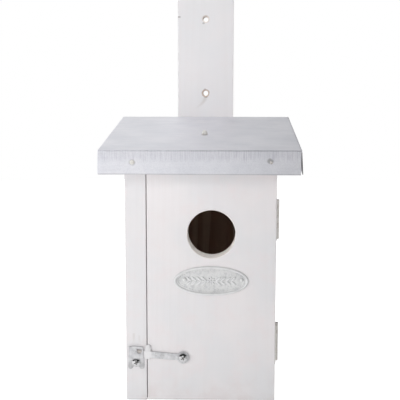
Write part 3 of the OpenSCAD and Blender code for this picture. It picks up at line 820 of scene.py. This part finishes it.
def ovalPlate():
    bm = bmesh.new()
    a, b = plate["width"] / 2, plate["height"] / 2
    ring = bmesh.ops.create_circle(bm, cap_ends=True, segments=plate["points"], radius=1.0)["verts"]
    for v in ring:
        v.co = millimetres(v.co.x * a, v.co.y * b, 0)
    bmesh.ops.reverse_faces(bm, faces=bm.faces)
    edges = list(bm.edges)
    inset = 0.0
    for inward, rise in plate["rim"]:
        edges, verts = extruded(bm, edges)
        for v in verts:
            v.co.x *= (a - inward) / (a - inset)
            v.co.y *= (b - inward) / (b - inset)
            v.co.z = rise * mm
        inset = inward
    bmesh.ops.contextual_create(bm, geom=edges)
    bmesh.ops.recalc_face_normals(bm, faces=bm.faces)

    def boss(x, y, turn, size):  # a low oval boss on the field
        place = (Matrix.Translation(millimetres(x, y, plate["field"])) @ Matrix.Rotation(turn, 4, "Z")
                 @ Matrix.Diagonal(millimetres(*size)).to_4x4())
        around, over = plate["bossSides"]
        bmesh.ops.create_uvsphere(bm, u_segments=around, v_segments=over, radius=1.0, matrix=place)

    for i in range(plate["beads"]):
        t = math.tau * (i + 0.5) / plate["beads"]
        x, y = (a - plate["beadIn"]) * math.cos(t), (b - plate["beadIn"]) * math.sin(t)
        if min(math.hypot(x - nx, y - ny) for nx, ny in nail["plate"]) > nail["plateClear"]:
            boss(x, y, 0.0, plate["bead"])
    boss(0.0, 0.0, 0.0, plate["stalk"])
    slantX, slantY = plate["leafSlant"]
    reach = plate["leaf"][0] * plate["leafOut"]
    for side in (-1, 1):
        for x in plate["leaves"]:
            for up in (-1, 1):
                turn = math.atan2(up * slantY, side * slantX)
                boss(side * x + reach * math.cos(turn), reach * math.sin(turn), turn, plate["leaf"])
    for i in range(plate["petals"]):
        turn = math.tau * i / plate["petals"]
        boss(plate["petalOut"] * math.cos(turn), plate["petalOut"] * math.sin(turn), turn, plate["petal"])
    boss(0.0, 0.0, 0.0, plate["heart"])
    bmesh.ops.transform(bm, matrix=onPlate, verts=bm.verts)
    addPiece("oval_plate_pressed", bm, plateFinish(), "door", ["oval_plate"], angle=50)


ovalPlate()
print("oval plate pressed")


# screws with cross recesses

panHead = {"radius": 4.3, "rim": 0.93, "height": 2.8, "shank": 2.0, "length": 16.0,
           "arm": 2.1, "slot": 0.8, "depth": 1.2}
leafHead = {"radius": 2.7, "cone": 1.0, "shank": 1.4, "length": 13.0,
            "arm": 1.5, "slot": 0.6, "depth": 0.8, "spin": 35.0, "spinStep": 50.0}
backHead = {"radius": 4.0, "cone": 2.0, "shank": 2.0, "length": 32.0,
            "arm": 2.2, "slot": 0.9, "depth": 1.4, "spin": 10.0, "spinStep": 33.0, "count": 3}
recess = {"taper": 0.62, "land": 0.35, "points": 28}
headEdge = {"curve": (0.33, 0.66, 1.0), "skirt": 0.25, "under": 0.2, "bevel": 0.12, "bevelDrop": 0.1}
screwTip = {"length": 2.5, "radius": 0.25}


def crossScrew(bm, place, look, spin):
    before = set(bm.verts)
    r = look["radius"]
    pan = "rim" in look
    if pan:
        crown = look["height"] - look["rim"]
        ball = (r * r + crown * crown) / (2 * crown)

    def top(radius):  # height of the head's face
        return look["height"] - ball + math.sqrt(ball * ball - radius * radius) if pan else 0.0

    # the recess starts as the five middle squares of a three by three grid
    grid = bmesh.ops.create_grid(bm, x_segments=3, y_segments=3, size=1.0)["verts"]
    corners = [v for v in grid if abs(v.co.x) > 0.9 and abs(v.co.y) > 0.9]
    bmesh.ops.delete(bm, geom=corners, context="VERTS")
    cross = [v for v in bm.verts if v not in before]
    for v in cross:
        x = math.copysign(look["arm"] if abs(v.co.x) > 0.9 else look["slot"] / 2, v.co.x)
        y = math.copysign(look["arm"] if abs(v.co.y) > 0.9 else look["slot"] / 2, v.co.y)
        v.co = millimetres(x, y, top(math.hypot(x, y)))
    faces = list({face for v in cross for face in v.link_faces})
    sunk = bmesh.ops.extrude_face_region(bm, geom=faces)["geom"]
    for v in vertsOf(sunk):
        v.co.x *= recess["taper"]
        v.co.y *= recess["taper"]
        v.co.z = (top(0.0) - look["depth"]) * mm
    bmesh.ops.delete(bm, geom=[face for face in faces if face.is_valid], context="FACES_ONLY")
    made = [v for v in bm.verts if v not in before]
    # the recess faces get the dark finish: dust and painted shade
    dustAndShade = {face for v in made for face in v.link_faces}
    rim = [e for e in {e for v in made for e in v.link_edges} if e.is_boundary]

    # a circle round it, bridged to the cross, then the head's curve and the shank
    inner = look["arm"] + recess["land"]
    points = recess["points"]
    circle = bmesh.ops.create_circle(bm, cap_ends=False, segments=points, radius=inner * mm)["verts"]
    bmesh.ops.translate(bm, verts=circle, vec=millimetres(0, 0, top(inner)))
    edges = list({e for v in circle for e in v.link_edges})
    bmesh.ops.bridge_loops(bm, edges=rim + edges)
    shank = look["shank"]
    if pan:
        outline = []
        for share in headEdge["curve"]:
            at = inner + (r - inner) * share
            outline.append((at, top(at)))
        outline += [(r, headEdge["skirt"]), (r - headEdge["under"], 0.0), (shank, 0.0)]
    else:
        outline = [(r - headEdge["bevel"], 0.0), (r, -headEdge["bevelDrop"]), (shank, -look["cone"])]
    outline += [(shank, screwTip["length"] - look["length"]), (screwTip["radius"], -look["length"])]
    for radius, height in outline:
        edges, verts = extruded(bm, edges)
        for v in verts:
            size = math.hypot(v.co.x, v.co.y)
            v.co = Vector((v.co.x / size * radius * mm, v.co.y / size * radius * mm, height * mm))
    bmesh.ops.contextual_create(bm, geom=edges)
    made = [v for v in bm.verts if v not in before]
    faces = list({face for v in made for face in v.link_faces})
    for face in faces:
        face.material_index = 1 if face in dustAndShade else 0
    bmesh.ops.recalc_face_normals(bm, faces=faces)
    bmesh.ops.transform(bm, matrix=place @ Matrix.Rotation(math.radians(spin), 4, "Z"), verts=made)


def panScrew(node, body, spin):
    mid = middle(node)
    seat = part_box(node)[0].y + panHead["height"] * mm
    bm = bmesh.new()
    crossScrew(bm, Matrix.Translation((mid.x, seat, mid.z)) @ faceFront, panHead, spin)
    addPiece(node + "_crossed", bm, [screwSteel, recessDustAndShade], body, [node])


panScrew("latch_pivot_screw", "door", 32.0)
panScrew("latch_catch_screw", "box", 12.0)
hinges = ("upper_hinge", "lower_hinge")
leaves = (("wall", "box"), ("door", "door"))  # each leaf and the body it rides on
for hinge in hinges:
    for part, body in leaves:
        node = hinge + "_" + part + "_screws"
        low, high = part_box(node)
        edge = leafHead["radius"] * mm
        bm = bmesh.new()
        for i, z in enumerate((low.z + edge, high.z - edge)):
            place = Matrix.Translation((high.x, middle(node).y, z)) @ faceRight
            crossScrew(bm, place, leafHead, leafHead["spin"] + leafHead["spinStep"] * i)
        addPiece(node + "_crossed", bm, [screwSteel, recessDustAndShade], body, [node])
low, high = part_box("hanging_board_screws")
edge = backHead["radius"] * mm
bm = bmesh.new()
for i in range(backHead["count"]):
    z = low.z + edge + (high.z - low.z - 2 * edge) * i / (backHead["count"] - 1)
    place = Matrix.Translation((middle("hanging_board_screws").x, high.y, z)) @ faceBack
    crossScrew(bm, place, backHead, backHead["spin"] + backHead["spinStep"] * i)
addPiece("hanging_board_screws_crossed", bm, [nailSteel, recessDustAndShade], "box",
         ["hanging_board_screws"])
print("screws made")


# latch: flat bar with a ringed eye, and the stepped catch

latch = {"lean": 4.9, "ringRadius": 5.2, "ringSize": 0.6, "ringRise": 0.3,
         "ringSides": 10, "ringPoints": 40}
pivot = middle("latch_pivot_screw")
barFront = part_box("latch_bar")[0].y
onBar = (Matrix.Translation((pivot.x, barFront, pivot.z))
         @ Matrix.Rotation(math.radians(latch["lean"]), 4, "Y") @ faceFront)
bm = nodeCopy("latch_bar")
easeEdges(bm, ease["bar"])
ringTurns = [math.tau * i / latch["ringSides"] for i in range(latch["ringSides"] + 1)]
ringProfile = [(latch["ringRadius"] + latch["ringSize"] * math.cos(t), latch["ringRise"] * math.sin(t))
               for t in ringTurns]
turned(bm, onBar, ringProfile, segments=latch["ringPoints"])
addPiece("latch_bar_pressed", bm, plated, "latch", ["latch_bar"])
bm = nodeCopy("latch_catch")
easeEdges(bm, ease["catch"])
addPiece("latch_catch_pressed", bm, catchSteel, "box", ["latch_catch"])

# hinges: leaves with eased edges, pins as they are
for hinge in hinges:
    for part, body in leaves:
        node = hinge + "_" + part + "_leaf"
        bm = nodeCopy(node)
        easeEdges(bm, ease["leaf"], segments=1)
        addPiece(node + "_eased", bm, hingeSteel, body, [node])
    pin = nodes[hinge + "_pin"]
    pin.data.materials.clear()
    pin.data.materials.append(screwSteel)
print("latch and hinges made")


# studio: pale floor, soft lamps, a dark ceiling over a white surround

shot = {"place": (29.11, -910.32, 309.19), "left": 2.032, "down": 7.12, "roll": 0.05, "lens": 76.72}
lens = bpy.data.cameras.new("camera")
lens.lens = shot["lens"]
lens.sensor_width = 36.0
lens.clip_start = 0.01
view = bpy.data.objects.new("camera", lens)
scene.collection.objects.link(view)
view.matrix_world = (Matrix.Translation(millimetres(*shot["place"]))
                     @ Matrix.Rotation(math.radians(shot["left"]), 4, "Z")
                     @ Matrix.Rotation(math.radians(90 - shot["down"]), 4, "X")
                     @ Matrix.Rotation(math.radians(shot["roll"]), 4, "Z"))
scene.camera = view

lamps = {  # the small ones fill in the hanging board, the shade under the lip and the hole's wall
    "key": {"place": (-0.33, -0.48, 0.18), "aim": (0.0, -0.06, 0.1),
            "size": 0.5, "power": 1.34, "spread": 180},
    "top": {"place": (-0.12, 0.03, 0.85), "aim": (0.0, 0.0, 0.28),
            "size": 0.35, "power": 2.0, "spread": 180},
    "back": {"place": (-0.25, -0.55, 0.52), "aim": (0.0, 0.09, 0.305),
             "size": 0.2, "power": 0.027, "spread": 30},
    "lip": {"place": (-0.03, -0.3, 0.06), "aim": (-0.03, -0.08, 0.245),
            "size": 0.05, "power": 0.0008, "spread": 18},
    "hole": {"place": (0.011, -0.015, 0.232), "aim": (0.011, -0.066, 0.148),
             "size": 0.03, "power": 0.0016, "spread": 45},
}
for name, look in lamps.items():
    lamp = bpy.data.lights.new(name, "AREA")
    lamp.size = look["size"]
    lamp.energy = look["power"]
    lamp.spread = math.radians(look["spread"])
    holder = bpy.data.objects.new(name, lamp)
    scene.collection.objects.link(holder)
    holder.location = look["place"]
    holder.visible_camera = False
    holder.visible_glossy = False
    beam = Vector(look["aim"]) - Vector(look["place"])
    holder.rotation_euler = beam.to_track_quat("-Z", "Y").to_euler()


def rays(f):  # what the camera sees, and what it sees in a mirror or through glass
    sockets = f.add("ShaderNodeLightPath").socket.node.outputs
    names = ("Is Camera Ray", "Is Glossy Ray", "Is Transmission Ray", "Diffuse Depth")
    seen, glossy, through, bounced = [Value(f, sockets[name]) for name in names]
    return seen, glossy.most(through) * (1 - bounced.least(1.0))


# a white tent; in a mirror it is weaker right of the camera and behind the box,
# and open to a dark ceiling above the camera
tent = {
    "white": (1.0, 1.0, 1.0, 1.0), "ceiling": (0.03, 0.03, 0.03, 1.0), "light": 0.61, "mirrored": 1.13,
    "right": 1.0, "rightFrom": (-0.06, 0.22), "rightTo": (0.9, 0.65),
    "behind": 0.18, "behindFrom": (0.45, 0.8),
    "gapUp": (0.56, 0.74), "gapFront": (0.4, 0.1), "gapArms": 0.5,
}
world = bpy.data.worlds.new("studio")
scene.world = world
f = Finish(world)
seen, mirrored = rays(f)
toX, toY, toZ = f.axes(f.add("ShaderNodeTexCoord", out="Generated"))
gap = f.step(toZ + abs(toX) * tent["gapArms"], *tent["gapUp"]) * f.step(toY, *tent["gapFront"]) * mirrored
weakRight = f.step(toX, *tent["rightFrom"]) * f.step(toX, *tent["rightTo"]) * tent["right"]
weakBehind = f.step(toY, *tent["behindFrom"]) * tent["behind"]
level = mirrored * (tent["mirrored"] - tent["light"] - (weakRight + weakBehind)) + tent["light"]
backdrop = f.add("ShaderNodeBackground", None,
                 {"Color": f.mix(gap, tent["white"], tent["ceiling"]), "Strength": seen.most(level)})
f.add("ShaderNodeOutputWorld", None, {"Surface": backdrop})

floor = {
    "size": 2.2, "drop": 0.0002, "colour": (0.9, 0.9, 0.9, 1.0), "glow": 0.75, "mirrored": 1.13,
    "weakSlow": (-0.4, 0.3), "slowShare": 0.33, "weakFast": (0.08, 0.22), "fastShare": 0.84,
    "weakTo": (0.9, 0.5),
}
f = Finish(bpy.data.materials.new("pale floor"))
seen, mirrored = rays(f)
matt = f.add("ShaderNodeBsdfDiffuse", None, {"Color": floor["colour"]})
glow = f.add("ShaderNodeEmission", None, {"Color": tent["white"], "Strength": seen * floor["glow"]})
plain = f.add("ShaderNodeAddShader", None, {0: matt, 1: glow})
x = f.axes(f.place())[0]  # in a mirror the floor is weaker on the right too
slow = f.step(x, *floor["weakSlow"]) * floor["slowShare"]
fast = f.step(x, *floor["weakFast"]) * floor["fastShare"]
shine = floor["mirrored"] - f.step(x, *floor["weakTo"]) * (slow + fast)
mirror = f.add("ShaderNodeEmission", None, {"Color": tent["white"], "Strength": shine})
f.add("ShaderNodeOutputMaterial", None,
      {"Surface": f.add("ShaderNodeMixShader", None, {0: mirrored, 1: plain, 2: mirror})})
bm = bmesh.new()
bmesh.ops.create_circle(bm, cap_ends=True, segments=64, radius=floor["size"])
mesh = bpy.data.meshes.new("floor")
bm.to_mesh(mesh)
bm.free()
mesh.transform(Matrix.Translation((0, 0, -floor["drop"])))
mesh.materials.append(f.owner)
ground = bpy.data.objects.new("floor", mesh)
scene.collection.objects.link(ground)
print("studio set")
